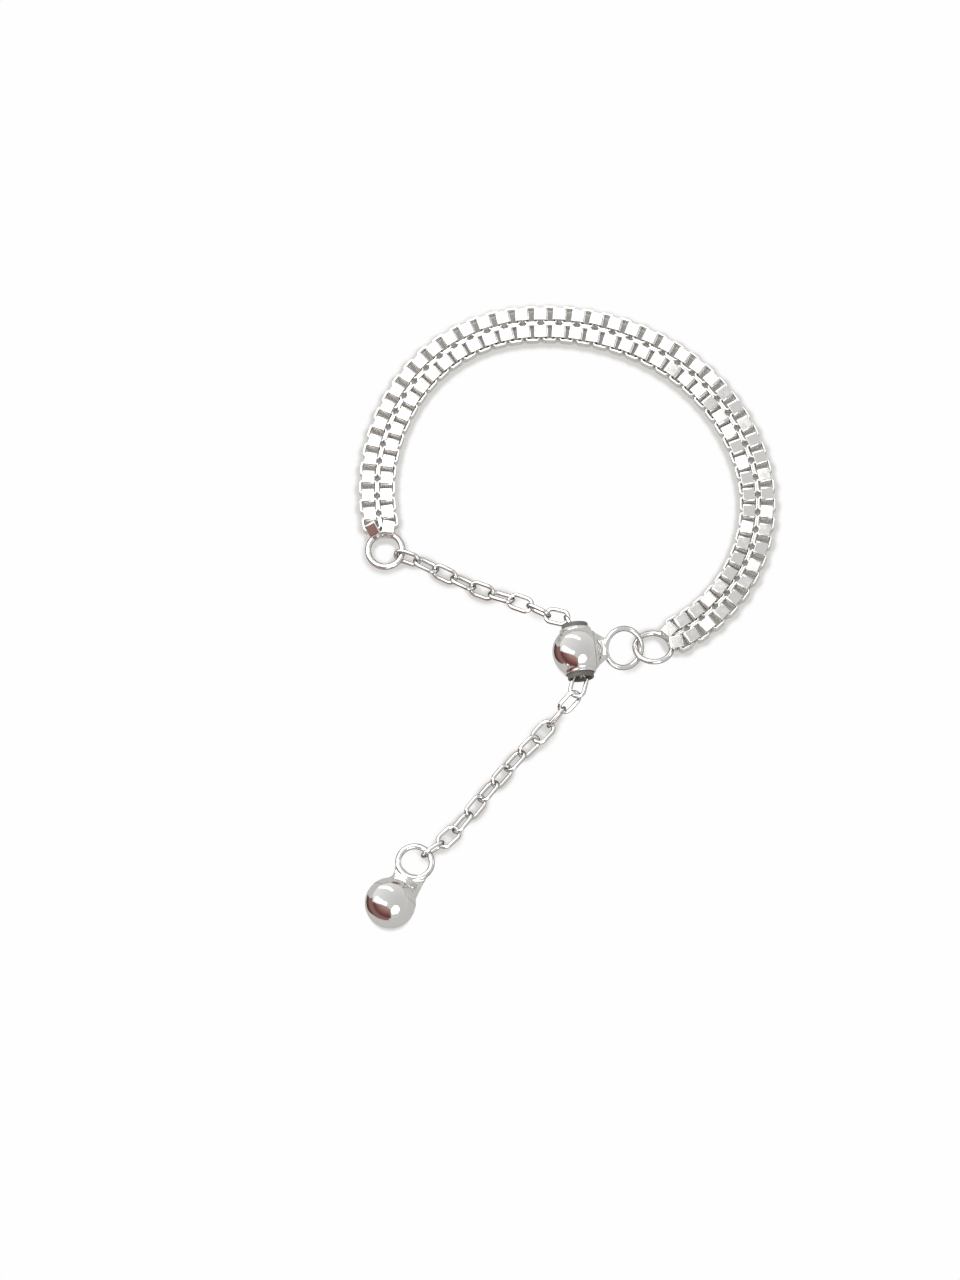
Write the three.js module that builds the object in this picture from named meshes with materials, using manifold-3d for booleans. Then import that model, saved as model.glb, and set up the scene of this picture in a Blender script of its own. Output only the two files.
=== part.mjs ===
// An adjustable chain ring in silver, lying flat as it is laid down, in millimetres, +Z up.
// A band of two rows of box chain ends in two small rings. A cable chain runs from the left one
// through a slider bead, which hangs on the right one, and ends in a ball with a loop.
import * as THREE from "three";
import { mergeVertices } from "three/addons/utils/BufferGeometryUtils.js";
import Module from "manifold-3d";

const wasm = await Module();
wasm.setup();

const DEG = Math.PI / 180;
const MERGE_DISTANCE = 1e-5; // corners nearer than this are one

// Facets round each kind of curve, few enough to keep the whole ring light.
const RING_FACETS = { round: 14, wire: 6 };
const OVAL_FACETS = { round: 10, wire: 5 };
const BALL_FACETS = { round: 16, tall: 10 };
const BARREL_FACETS = 16;
const WEB_FACETS = 12;

// Box chain: square links of folded strip, alternately upright and lying flat.
const BOX_LENGTH = 0.72;
const BOX_HEIGHT = 0.9;
const STRIP = 0.11; // thickness
const STRIP_WIDTH = 0.6;
const BEND = 0.07; // cut at the upper corners that stands for the round bend of the strip
const ROW_OFFSET = 0.45; // from the band's midline to each row
const FLAT_LINKS = 44; // pairs of lying links, each soldered across the two rows
const SINK = 0.01; // how far a lying link bites into the upright links that carry it
const END_TILT = 3.5 * DEG; // the first and last pair rise towards the end rings
const END_SHIFT = 0.025; // and are pulled that far towards them

// The band's midline: straight out of the left end ring, then arcs, clockwise.
const BAND_START = { x: -9.12, y: 3.54, heading: 100.3 * DEG }; // middle of the left end ring
const BAND_ARCS = [
  { radius: 9.4, sweep: 43.8 },
  { radius: 7.65, sweep: 49.5 },
  { radius: 11.65, sweep: 37 },
  { radius: 9.8, sweep: 43 },
  { radius: 7.6, sweep: 78.3 },
];

// End rings: each is soldered to the two upright links that hook onto the band's last pair.
const LEFT_RING = { radius: 0.86, wire: 0.3, z: 0.43, tilt: 0, about: 0, slope: 0, hook: -119 * DEG };
const RIGHT_RING = { radius: 0.915, wire: 0.26, z: 0.51, tilt: -24 * DEG, about: -34 * DEG };
const SOLDER_REACH = 0.25; // from the ring's wire to the middle of the link soldered on it
const HOOK_SETBACK = 0.075; // from the last pair's middle to the end wall of that link inside it

// Cable chain: oval links of round wire, each a quarter turn from the next.
const OVAL_HALF = 0.605; // from the middle of a link to the wire at its tip
const OVAL_SIDE = 0.345; // from the middle of a link to the wire at its side
const OVAL_WIRE = 0.21;
const OVAL_LINKS = 24; // from the left end ring, through the slider, to the end ball's loop
const HOOK_DEPTH = 0.215; // how far a last link reaches past the middle of the wire it hangs on
const ROUTE_STEPS = 6000;
const PITCH_STEPS = 24; // halvings that find the links' pitch
// The chain's twist, in degrees beyond the quarter turn of each link, at some of its links.
const TWIST = [
  { link: 0, turn: 60 },
  { link: 1, turn: 45 },
  { link: 5, turn: 40 },
  { link: 6, turn: 0 },
  { link: 12, turn: 0 },
  { link: 13, turn: 45 },
  { link: 14, turn: 85 },
  { link: 15, turn: 90 },
  { link: 16, turn: 130 },
  { link: 21, turn: 140 },
  { link: 22, turn: 180 },
];
// The points that the chain passes: from the left end ring to the slider, along the slider's bore
// on each side of its middle, and from there to the end ball's loop.
const UPPER_ROUTE = [
  [-7.78, 3.1, 0.42],
  [-6.08, 2.28, 0.39],
  [-4.35, 1.47, 0.39],
  [-2.28, 0.75, 0.58],
  [-0.5, -0.14, 1.0],
];
const BORE_ROUTE = [1.62, 0.8, 0, -0.8, -1.5];
const LOWER_ROUTE = [
  [0.65, -3.78, 1.26],
  [0.34, -4.24, 1.25],
  [-0.02, -4.6, 1.14],
  [-0.27, -4.85, 0.86],
  [-0.47, -5.04, 0.57],
  [-0.83, -5.42, 0.42],
  [-1.3, -5.96, 0.4],
  [-2.45, -7.13, 0.39],
  [-4.36, -9.4, 0.4],
  [-5.95, -11.33, 0.42],
];

// Slider: a ball drilled for a soft core that grips the chain, with a ring soldered to its side.
const BALL_RADIUS = 1.27;
const BEAD = { x: 0.505, y: -1.927, turn: 6.8 * DEG };
const COLLAR = { radius: 0.78, half: 1.16 };
const CORE = { radius: 0.68, half: 1.42, bore: 0.5, mouth: 0.61, flare: 0.6, chamfer: 0.04 };
const CORE_GAP = 0.02;
const BEAD_RING = { radius: 0.98, wire: 0.27, x: 2.3, z: 0.92, tilt: 21 * DEG, slope: 24 * DEG };
const BEAD_WEB = { from: 0.9, to: 1.45, wide: 0.8, narrow: 0.6, flat: 0.5, dip: 5 * DEG };

// End ball with its loop.
const END_BALL = { x: -8.855, y: -14.904, turn: 61.5 * DEG };
const END_LOOP = { radius: 0.84, wire: 0.29, x: 2.58, z: 0.62, slope: 5 * DEG, hook: -20 * DEG };
const LOOP_WEB = { from: 0.72, to: 2.18, wide: 1.02, narrow: 0.8, flat: 0.28 };

const silver = { color: 0xd9dadb, metalness: 1, roughness: 0.2 };
const silicone = { color: 0x6f706e, metalness: 0, roughness: 0.55 };

// The closed solid of a geometry.
function solidOf(geometry) {
  const bare = geometry.index ? geometry.toNonIndexed() : geometry.clone();
  bare.deleteAttribute("normal");
  bare.deleteAttribute("uv");
  const merged = mergeVertices(bare, MERGE_DISTANCE);
  return new wasm.Manifold(
    new wasm.Mesh({
      numProp: 3,
      vertProperties: merged.attributes.position.array,
      triVerts: new Uint32Array(merged.index.array),
    }),
  );
}

function geometryOf(solid) {
  const mesh = solid.getMesh();
  return new THREE.BufferGeometry()
    .setAttribute("position", new THREE.BufferAttribute(mesh.vertProperties, 3))
    .setIndex(new THREE.BufferAttribute(mesh.triVerts, 1))
    .toNonIndexed();
}

const fuse = (solids) => solids.reduce((sum, solid) => sum.add(solid));

function meshOf(name, solid, look) {
  const geometry = geometryOf(solid);
  geometry.computeVertexNormals();
  const mesh = new THREE.Mesh(geometry, new THREE.MeshStandardMaterial(look));
  mesh.name = name;
  return mesh;
}

function polygon(points) {
  return new THREE.Shape(points.map(([x, y]) => new THREE.Vector2(x, y)));
}

function rectangleHole(x, y, width, height) {
  const [w, h] = [width / 2, height / 2];
  return new THREE.Path(
    [
      [x - w, y - h],
      [x - w, y + h],
      [x + w, y + h],
      [x + w, y - h],
    ].map(([px, py]) => new THREE.Vector2(px, py)),
  );
}

// An upright box link standing on the floor, its strip's length along X and its width along Y.
function uprightLink() {
  const [a, b] = [BOX_LENGTH / 2, BOX_HEIGHT / 2];
  const outline = polygon([
    [-a, -b],
    [a, -b],
    [a, b - BEND],
    [a - BEND, b],
    [-a + BEND, b],
    [-a, b - BEND],
  ]);
  outline.holes.push(rectangleHole(0, 0, BOX_LENGTH - 2 * STRIP, BOX_HEIGHT - 2 * STRIP));
  return new THREE.ExtrudeGeometry(outline, { depth: STRIP_WIDTH, bevelEnabled: false })
    .translate(0, 0, -STRIP_WIDTH / 2)
    .rotateX(Math.PI / 2)
    .translate(0, 0, BOX_HEIGHT / 2);
}

// Two lying box links side by side, soldered where they meet.
function flatPair() {
  const a = BOX_LENGTH / 2;
  const b = 2 * ROW_OFFSET;
  const outline = polygon([
    [-a, -b],
    [a, -b],
    [a, b],
    [-a, b],
  ]);
  for (const side of [-1, 1])
    outline.holes.push(
      rectangleHole(0, side * ROW_OFFSET, BOX_LENGTH - 2 * STRIP, 2 * ROW_OFFSET - 2 * STRIP),
    );
  return new THREE.ExtrudeGeometry(outline, { depth: STRIP_WIDTH, bevelEnabled: false }).translate(
    0,
    0,
    STRIP - SINK,
  );
}

// The point and heading at a distance along the band's midline, from its first pair of links.
function bandAt(distance) {
  let { x, y, heading } = BAND_START;
  const start = endReach(LEFT_RING);
  x += start * Math.cos(heading);
  y += start * Math.sin(heading);
  let left = distance;
  for (const { radius, sweep } of BAND_ARCS) {
    const turn = Math.min(left / radius, sweep * DEG);
    const chord = 2 * radius * Math.sin(turn / 2);
    x += chord * Math.cos(heading - turn / 2);
    y += chord * Math.sin(heading - turn / 2);
    heading -= turn;
    left -= turn * radius;
  }
  return { x, y, heading };
}

// The angle round an end ring at which each of its two links is soldered.
function hookAngle({ radius }) {
  return Math.asin(ROW_OFFSET / (radius + SOLDER_REACH + (BOX_LENGTH - STRIP) / 2));
}

// From the middle of an end ring to the middle of the band's last pair.
function endReach(ring) {
  const hook = ring.radius + SOLDER_REACH + (BOX_LENGTH - STRIP) / 2;
  return hook * Math.cos(hookAngle(ring)) + HOOK_SETBACK;
}

const bandLength = BAND_ARCS.reduce((sum, { radius, sweep }) => sum + radius * sweep * DEG, 0);
const boxPitch = bandLength / (FLAT_LINKS - 1);

// The end pair is raised and pulled towards its ring, so that it clears the links hooked into it.
function raiseEnd(pair, inward) {
  const foot = STRIP - SINK;
  pair
    .translate((-inward * BOX_LENGTH) / 2, 0, -foot)
    .rotateY(inward * END_TILT)
    .translate(inward * (BOX_LENGTH / 2 - END_SHIFT), 0, foot);
}

function bandChain() {
  const solids = [];
  for (let i = 0; i < FLAT_LINKS; i++) {
    const pair = flatPair();
    if (i === 0) raiseEnd(pair, 1);
    if (i === FLAT_LINKS - 1) raiseEnd(pair, -1);
    const at = bandAt(i * boxPitch);
    solids.push(solidOf(pair.rotateZ(at.heading).translate(at.x, at.y, 0)));
    if (i === FLAT_LINKS - 1) continue;
    const between = bandAt((i + 0.5) * boxPitch);
    for (const side of [-1, 1]) {
      const link = uprightLink().translate(0, side * ROW_OFFSET, 0);
      solids.push(solidOf(link.rotateZ(between.heading).translate(between.x, between.y, 0)));
    }
  }
  return meshOf("band_chain", fuse(solids), silver);
}

function wireRing({ radius, wire }) {
  return new THREE.TorusGeometry(radius, wire / 2, RING_FACETS.wire, RING_FACETS.round);
}

// An end ring round the origin, its two links towards +X.
function endRing(name, ring) {
  const { z, tilt, about } = ring;
  const axis = new THREE.Vector3(Math.cos(about), Math.sin(about), 0);
  const wire = wireRing(ring)
    .applyMatrix4(new THREE.Matrix4().makeRotationAxis(axis, tilt))
    .translate(0, 0, z);
  const links = [-1, 1].map((side) =>
    uprightLink()
      .translate(ring.radius + SOLDER_REACH, 0, 0)
      .rotateZ(side * hookAngle(ring)),
  );
  return meshOf(name, fuse([wire, ...links].map(solidOf)), silver);
}

function ball() {
  return new THREE.SphereGeometry(BALL_RADIUS, BALL_FACETS.round, BALL_FACETS.tall);
}

// A flattened, tapered web of solder from the ball's side towards a ring along +X.
function solderWeb({ from, to, wide, narrow, flat }, dip) {
  return new THREE.CylinderGeometry(narrow, wide, to - from, WEB_FACETS)
    .rotateZ(-Math.PI / 2)
    .scale(1, 1, flat)
    .translate((from + to) / 2, 0, 0)
    .rotateY(dip);
}

// A ring whose middle is at a distance from the ball's middle, at its own height above the floor.
function sideRing(ring) {
  return wireRing(ring)
    .rotateX(ring.tilt ?? 0)
    .rotateY(ring.slope)
    .translate(ring.x, 0, ring.z - BALL_RADIUS);
}

// A cylinder along Y, centred on the ball, that cuts or fills its bore.
function barrel(radius, half) {
  return new THREE.CylinderGeometry(radius, radius, 2 * half, BARREL_FACETS);
}

// The slider, with its bore along Y and its ring towards +X.
function sliderBead() {
  const collar = barrel(COLLAR.radius, COLLAR.half);
  const bore = barrel(CORE.radius + CORE_GAP, CORE.half);
  const web = solderWeb(BEAD_WEB, -BEAD_WEB.dip);
  const body = fuse([ball(), collar, web, sideRing(BEAD_RING)].map(solidOf));
  return meshOf("slider_bead", body.subtract(solidOf(bore)), silver);
}

// The soft core: a sleeve whose bore flares at both mouths.
function sliderCore() {
  const { radius, half, bore, mouth, flare, chamfer } = CORE;
  const upper = [
    [radius, half - chamfer],
    [radius - chamfer, half],
    [mouth, half],
    [bore, half - flare],
  ];
  const lower = upper.map(([x, y]) => [x, -y]).reverse();
  const section = [...upper, ...lower, upper[0]].map(([x, y]) => new THREE.Vector2(x, y));
  const sleeve = new THREE.LatheGeometry(section, BARREL_FACETS);
  return meshOf("slider_core", solidOf(sleeve), silicone);
}

// The end ball, with its loop towards +X.
function endBall() {
  const { radius, wire, x, z } = END_LOOP;
  const inside = radius - wire / 2;
  const hole = barrel(inside, BALL_RADIUS)
    .rotateX(Math.PI / 2)
    .translate(x, 0, 0);
  const web = solderWeb(LOOP_WEB, Math.atan2(BALL_RADIUS - z, x));
  const body = fuse([ball(), web].map(solidOf)).subtract(solidOf(hole));
  return meshOf("end_ball", body.add(solidOf(sideRing(END_LOOP))), silver);
}

// An oval link of round wire in the XY plane: a ring of wire, a flat side at each tip, pulled apart
// along X into two halves.
function ovalLink() {
  const { round, wire } = OVAL_FACETS;
  const link = new THREE.TorusGeometry(OVAL_SIDE, OVAL_WIRE / 2, wire, round).rotateZ(Math.PI / round);
  const position = link.attributes.position;
  for (let i = 0; i < position.count; i++) {
    const x = position.getX(i);
    position.setX(i, x + Math.sign(x) * (OVAL_HALF - OVAL_SIDE));
  }
  return link;
}

// The point just inside a ring's wire where the chain's last link ends, for a ring whose middle is
// at a distance along its heading.
function hookPoint({ x, y }, heading, { radius, z, hook, slope }, distance) {
  const inside = radius - HOOK_DEPTH;
  const forward = distance + inside * Math.cos(hook) * Math.cos(slope);
  const sideways = inside * Math.sin(hook);
  return new THREE.Vector3(
    x + forward * Math.cos(heading) - sideways * Math.sin(heading),
    y + forward * Math.sin(heading) + sideways * Math.cos(heading),
    z - inside * Math.cos(hook) * Math.sin(slope),
  );
}

// Points along the chain's route from the left end ring, through the slider, to the end ball's loop.
function cableRoute() {
  const bore = BORE_ROUTE.map((reach) => [
    BEAD.x - reach * Math.sin(BEAD.turn),
    BEAD.y + reach * Math.cos(BEAD.turn),
    BALL_RADIUS,
  ]);
  const points = [...UPPER_ROUTE, ...bore, ...LOWER_ROUTE].map((point) => new THREE.Vector3(...point));
  const first = hookPoint(BAND_START, BAND_START.heading, LEFT_RING, 0);
  const last = hookPoint(END_BALL, END_BALL.turn, END_LOOP, END_LOOP.x);
  const curve = new THREE.CatmullRomCurve3([first, ...points, last], false, "centripetal");
  curve.arcLengthDivisions = ROUTE_STEPS;
  return curve.getSpacedPoints(ROUTE_STEPS);
}

// The joints between stiff links, each a straight pitch from the last.
function linkJoints(route, pitch) {
  const joints = [route[0]];
  for (const point of route) {
    if (point.distanceTo(joints.at(-1)) >= pitch) joints.push(point);
  }
  return joints;
}

// The widest pitch at which all the links fit on the route.
function linkPitch(route) {
  let [low, high] = [OVAL_HALF, 2 * OVAL_HALF];
  for (let i = 0; i < PITCH_STEPS; i++) {
    const middle = (low + high) / 2;
    if (linkJoints(route, middle).length > OVAL_LINKS) low = middle;
    else high = middle;
  }
  return low;
}

// The turn of a link about the route: a quarter turn from its neighbour's, and the chain's twist.
function linkRoll(index) {
  const next = TWIST.findIndex(({ link }) => link >= index);
  const to = TWIST.at(next);
  const from = next > 0 ? TWIST[next - 1] : to;
  const share = to === from ? 0 : (index - from.link) / (to.link - from.link);
  return (index * 90 + THREE.MathUtils.lerp(from.turn, to.turn, share)) * DEG;
}

function ovalLinkBetween(start, end, roll) {
  const along = end.clone().sub(start).normalize();
  const across = new THREE.Vector3(0, 0, 1).cross(along).normalize();
  const place = new THREE.Matrix4()
    .makeBasis(along, across, along.clone().cross(across))
    .setPosition(start.clone().lerp(end, 0.5));
  return solidOf(ovalLink().rotateX(roll).applyMatrix4(place));
}

function cableChain() {
  const route = cableRoute();
  const joints = linkJoints(route, linkPitch(route));
  const links = [];
  for (let i = 0; i < OVAL_LINKS; i++) {
    links.push(ovalLinkBetween(joints[i], joints[i + 1], linkRoll(i)));
  }
  return meshOf("cable_chain", fuse(links), silver);
}

const laid = new THREE.Group();

const leftRing = endRing("left_end_ring", LEFT_RING);
leftRing.position.set(BAND_START.x, BAND_START.y, 0);
leftRing.rotation.z = BAND_START.heading;

const rightRing = endRing("right_end_ring", RIGHT_RING);
const bandEnd = bandAt(bandLength);
const reach = endReach(RIGHT_RING);
rightRing.position.set(
  bandEnd.x + reach * Math.cos(bandEnd.heading),
  bandEnd.y + reach * Math.sin(bandEnd.heading),
  0,
);
rightRing.rotation.z = bandEnd.heading + Math.PI;

const slider = new THREE.Group();
slider.add(sliderBead(), sliderCore());
slider.position.set(BEAD.x, BEAD.y, BALL_RADIUS);
slider.rotation.z = BEAD.turn;

const endPiece = endBall();
endPiece.position.set(END_BALL.x, END_BALL.y, BALL_RADIUS);
endPiece.rotation.z = END_BALL.turn;

laid.add(bandChain(), leftRing, rightRing, cableChain(), slider, endPiece);

// The origin is the middle of the foot of the whole ring's box.
const box = new THREE.Box3().setFromObject(laid, true);
const middle = box.getCenter(new THREE.Vector3());
laid.position.set(-middle.x, -middle.y, -box.min.z);

const ring = new THREE.Group();
ring.add(laid);

export default ring;
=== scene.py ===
"""An adjustable chain ring in polished silver, laid flat on a pale surface.

The band is two rows of box chain, soldered side by side, between two small rings. A cable chain of
oval links runs from the left ring through a slider bead with a soft core, and ends in a ball.
"""

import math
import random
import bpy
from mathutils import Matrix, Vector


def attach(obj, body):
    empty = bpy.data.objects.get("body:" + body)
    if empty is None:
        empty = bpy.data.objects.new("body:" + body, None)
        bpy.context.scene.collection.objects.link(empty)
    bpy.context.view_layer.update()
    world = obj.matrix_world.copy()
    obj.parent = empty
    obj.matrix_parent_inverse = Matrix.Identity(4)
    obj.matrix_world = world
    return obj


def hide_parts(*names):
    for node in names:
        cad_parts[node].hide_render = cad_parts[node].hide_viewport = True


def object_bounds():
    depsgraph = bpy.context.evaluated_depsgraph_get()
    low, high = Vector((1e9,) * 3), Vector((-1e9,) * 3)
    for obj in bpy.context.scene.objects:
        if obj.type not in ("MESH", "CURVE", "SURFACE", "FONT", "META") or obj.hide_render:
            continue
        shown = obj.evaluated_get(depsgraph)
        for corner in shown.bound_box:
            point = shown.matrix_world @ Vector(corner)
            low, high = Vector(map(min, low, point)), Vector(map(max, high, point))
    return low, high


bl_info = {
    "name": "Adjustable Chain Ring",
    "version": (1, 0, 0),
    "blender": (4, 5, 0),
    "location": "3D View > Sidebar > Chain Ring",
    "description": "Builds an adjustable ring of box chain and cable chain, piece by piece",
    "category": "Object",
}

import bmesh
import bpy
from bpy.props import FloatProperty, IntProperty, PointerProperty, StringProperty
from mathutils import Matrix, Vector

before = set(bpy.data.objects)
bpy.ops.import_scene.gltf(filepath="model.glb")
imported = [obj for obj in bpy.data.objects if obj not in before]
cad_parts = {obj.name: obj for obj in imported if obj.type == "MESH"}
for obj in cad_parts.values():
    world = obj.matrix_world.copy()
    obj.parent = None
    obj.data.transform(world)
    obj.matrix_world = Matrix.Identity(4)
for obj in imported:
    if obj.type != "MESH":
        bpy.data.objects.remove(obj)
CAD_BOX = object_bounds()

MM = 0.001

# All sizes in these tables are in millimetres and degrees.
# The band's midline: straight out of the left end ring, then arcs, clockwise.
BAND_START = {"x": -9.12, "y": 3.54, "heading": 100.3}
BAND_ARCS = (
    {"radius": 9.4, "sweep": 43.8},
    {"radius": 7.65, "sweep": 49.5},
    {"radius": 11.65, "sweep": 37},
    {"radius": 9.8, "sweep": 43},
    {"radius": 7.6, "sweep": 78.3},
)
END_TILT = 3.5  # the band's first and last pair of links rise towards the end rings
END_SHIFT = 0.025  # and are pulled that far towards them
SOLDER_REACH = 0.25  # from an end ring's wire to the middle of the link soldered on it
HOOK_SETBACK = 0.075  # from the band's last pair to the end wall of that link inside it

LEFT_RING = {
    "radius": 0.86, "wire": 0.3, "z": 0.43, "tilt": 0, "about": 0, "slope": 0, "hook": -119
}
RIGHT_RING = {"radius": 0.915, "wire": 0.26, "z": 0.51, "tilt": -24, "about": -34}
BEAD = {"x": 0.505, "y": -1.927, "turn": 6.8}
BEAD_RING = {"radius": 0.98, "wire": 0.27, "x": 2.3, "z": 0.92, "tilt": 21, "slope": 24}
END_BALL = {"x": -8.855, "y": -14.904, "turn": 61.5}
END_LOOP = {"radius": 0.84, "wire": 0.29, "x": 2.58, "z": 0.62, "tilt": 0, "slope": 5, "hook": -20}

# The cable chain's route: from the left end ring, along the slider's bore, to the end ball's loop.
HOOK_DEPTH = 0.215  # how far a last link reaches past the middle of the wire it hangs on
UPPER_ROUTE = (
    (-7.78, 3.1, 0.42),
    (-6.08, 2.28, 0.39),
    (-4.35, 1.47, 0.39),
    (-2.28, 0.75, 0.58),
    (-0.5, -0.14, 1.0),
)
BORE_ROUTE = (1.62, 0.8, 0, -0.8, -1.5)
LOWER_ROUTE = (
    (0.65, -3.78, 1.26),
    (0.34, -4.24, 1.25),
    (-0.02, -4.6, 1.14),
    (-0.27, -4.85, 0.86),
    (-0.47, -5.04, 0.57),
    (-0.83, -5.42, 0.42),
    (-1.3, -5.96, 0.4),
    (-2.45, -7.13, 0.39),
    (-4.36, -9.4, 0.4),
    (-5.95, -11.33, 0.42),
)
# The chain's twist, in degrees beyond the quarter turn of each link, at some of its links.
TWIST = (
    {"link": 0, "turn": 60},
    {"link": 1, "turn": 45},
    {"link": 5, "turn": 40},
    {"link": 6, "turn": 0},
    {"link": 12, "turn": 0},
    {"link": 13, "turn": 45},
    {"link": 14, "turn": 85},
    {"link": 15, "turn": 90},
    {"link": 16, "turn": 130},
    {"link": 21, "turn": 140},
    {"link": 22, "turn": 180},
)


def length(name, description, millimetres):
    """A size that the sidebar shows, given in millimetres and kept in metres."""
    return FloatProperty(
        name=name,
        description=description,
        default=millimetres * MM,
        min=0,
        subtype="DISTANCE",
        unit="LENGTH",
        precision=5,
    )


def hex_colour(name, description, value):
    """A colour that the sidebar shows."""
    return StringProperty(
        name=name, description=description + ", as an sRGB hex value", default=value
    )


class RingBandSizes(bpy.types.PropertyGroup):
    """The box chain of the band"""

    link_length: length("Link length", "Outer length of a box link along the band", 0.72)
    link_height: length("Link height", "Outer height of a box link", 0.9)
    strip: length("Strip thickness", "Thickness of the folded strip", 0.1)
    strip_width: length("Strip width", "Width of the folded strip", 0.6)
    bend: length("Bend radius", "Outer radius of an upright link's bends", 0.11)
    side_bend: length("Side bend radius", "Outer radius of a lying link's bends", 0.17)
    edge: length("Edge radius", "Rounding that tumbling gives the strip's edges", 0.022)
    row_offset: length("Row offset", "From the band's midline to the middle of each row", 0.45)
    lift: length("Lift", "From the surface to the lower edge of the lying links", 0.1)
    pairs: IntProperty(name="Lying pairs", description="Pairs of lying links", default=44, min=2)
    play: FloatProperty(
        name="Play",
        description="How far a link leans at random in its neighbours",
        default=math.radians(1.1),
        min=0,
        subtype="ANGLE",
        unit="ROTATION",
    )


class RingCableSizes(bpy.types.PropertyGroup):
    """The cable chain"""

    half: length("Half length", "From the middle of an oval link to the wire at its tip", 0.6)
    side: length("Half width", "From the middle of an oval link to the wire at its side", 0.345)
    wire: length("Wire", "Diameter of the link's wire", 0.205)
    links: IntProperty(name="Links", description="Oval links in the chain", default=24, min=4)


class RingBallSizes(bpy.types.PropertyGroup):
    """The slider bead, its core and the end ball"""

    radius: length("Ball radius", "Radius of the slider's ball and of the end ball", 1.27)
    collar: length("Collar radius", "Outer radius of the slider's collars", 0.78)
    collar_half: length("Collar reach", "From the slider's middle to a collar's lip", 1.16)
    core: length("Core radius", "Outer radius of the soft core", 0.66)
    core_half: length("Core reach", "From the slider's middle to the core's end", 1.42)
    bore: length("Bore radius", "Radius of the bore that the chain runs in", 0.5)
    mouth: length("Mouth radius", "Radius of the bore at its two mouths", 0.6)


class RingColours(bpy.types.PropertyGroup):
    """The colours of the metal, the core and the stage"""

    silver: hex_colour("Silver", "Polished sterling silver", "#f7f6f3")
    # A darker, greyer silver colour laid on sharp inner corners.
    tarnish: hex_colour("Tarnish", "Silver in sharp inner corners, unpolished", "#b4b1ad")
    pickled: hex_colour("Pickled silver", "Matt silver in the chain's narrow gaps", "#eceae6")
    # Painted shade: the colour laid on a wire's sides as they turn away from the camera.
    sides: hex_colour("Wire's sides", "The steep sides of thin wire", "#5c5957")
    solder: hex_colour("Solder", "Silver solder, a little greyer than the metal", "#e6e4e1")
    core: hex_colour("Core", "Grey silicone rubber", "#75716c")
    floor: hex_colour("Floor", "The white surface that the ring lies on", "#fefefe")
    # Painted shadow: the next two floor colours are laid on close to the metal and in narrow gaps,
    # by how closed in each point is.
    near: hex_colour("Floor nearby", "The surface in a link, or at the band's foot", "#d3d1ce")
    under: hex_colour("Floor underneath", "The surface at the bottom of a narrow gap", "#8f8d8a")
    mirrored: hex_colour("Floor in the metal", "The surface as the metal mirrors it", "#9f9e9c")
    card: hex_colour("Card", "The dark brown card that the metal mirrors", "#6a3f40")
    card_top: hex_colour("Card's top", "The card's upper edge, with more light on it", "#a58379")
    card_foot: hex_colour("Card's foot", "The bent cards' edge, in a ball's shade", "#4b2a2a")
    cloth: hex_colour("Cloth", "The white cloth, lit from behind", "#ffffff")
    room: hex_colour("Room", "The pale room that the metal mirrors", "#fefeff")


def linear(value):
    """A colour given as an sRGB hex value, turned to linear RGBA."""
    channels = [int(value[i : i + 2], 16) / 255 for i in (1, 3, 5)]
    return [c / 12.92 if c <= 0.04045 else ((c + 0.055) / 1.055) ** 2.4 for c in channels] + [1.0]


# ---- Materials -------------------------------------------------------------------------------


def add_node(tree, kind, settings=None, links=None):
    """A shader node with its settings and values, and links given as input: (node, output).

    An input or output is given by its name, or by its number where several have one name.
    """
    node = tree.nodes.new("ShaderNode" + kind)
    for key, value in (settings or {}).items():
        if isinstance(key, int) or key in node.inputs:
            node.inputs[key].default_value = value
        else:
            setattr(node, key, value)
    for key, (source, output) in (links or {}).items():
        tree.links.new(source.outputs[output], node.inputs[key])
    return node


def new_material(name):
    material = bpy.data.materials.new(name)
    material.use_nodes = True
    material.node_tree.nodes.clear()
    return material


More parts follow.
